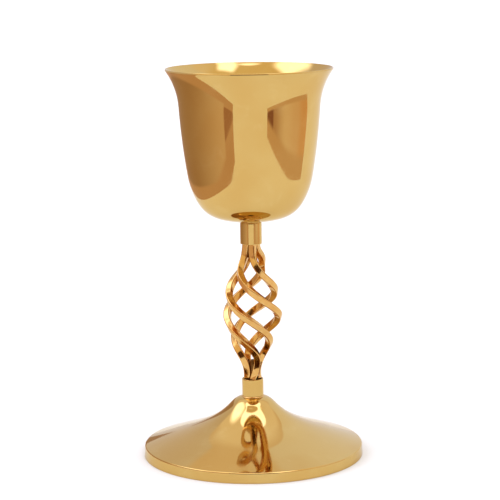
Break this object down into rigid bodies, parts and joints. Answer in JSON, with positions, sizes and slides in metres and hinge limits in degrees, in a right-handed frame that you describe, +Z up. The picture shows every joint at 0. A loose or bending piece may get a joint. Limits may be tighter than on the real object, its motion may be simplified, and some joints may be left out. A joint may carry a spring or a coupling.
{
  "type": "communion chalice",
  "caption": "Polished gold chalice: flared bell bowl, open basket stem of twisted square bars between short sleeves, and a low spun cone foot.",
  "frame": {"origin": "centre of the ring that the foot rests on", "axes": "+Z up along the common axis of foot, stem and bowl; -Y is the side that faces the viewer, and the first twisted bar is measured from it"},
  "size_m": [0.125, 0.125, 0.22],
  "materials": {
    "gold_plate": "mirror-polished gold plate on spun brass sheet",
    "gold_stem": "polished gold plate on brass bar and tube, softened by hand work",
    "raw_brass": "machined, unplated brass",
    "zinc_steel": "zinc-plated steel hardware"
  },
  "bodies": {
    "root": {"cup_bowl": "gold_plate", "cup_stud": "raw_brass", "upper_ferrule": "gold_stem", "upper_plug": "raw_brass", "twist_bar_1": "gold_stem", "twist_bar_2": "gold_stem", "twist_bar_3": "gold_stem", "twist_bar_4": "gold_stem", "lower_ferrule": "gold_stem", "lower_plug": "raw_brass", "foot_stud": "raw_brass", "foot_shell": "gold_plate", "foot_washer": "zinc_steel", "lock_washer": "zinc_steel", "foot_nut": "zinc_steel"}
  },
  "joints": []
}
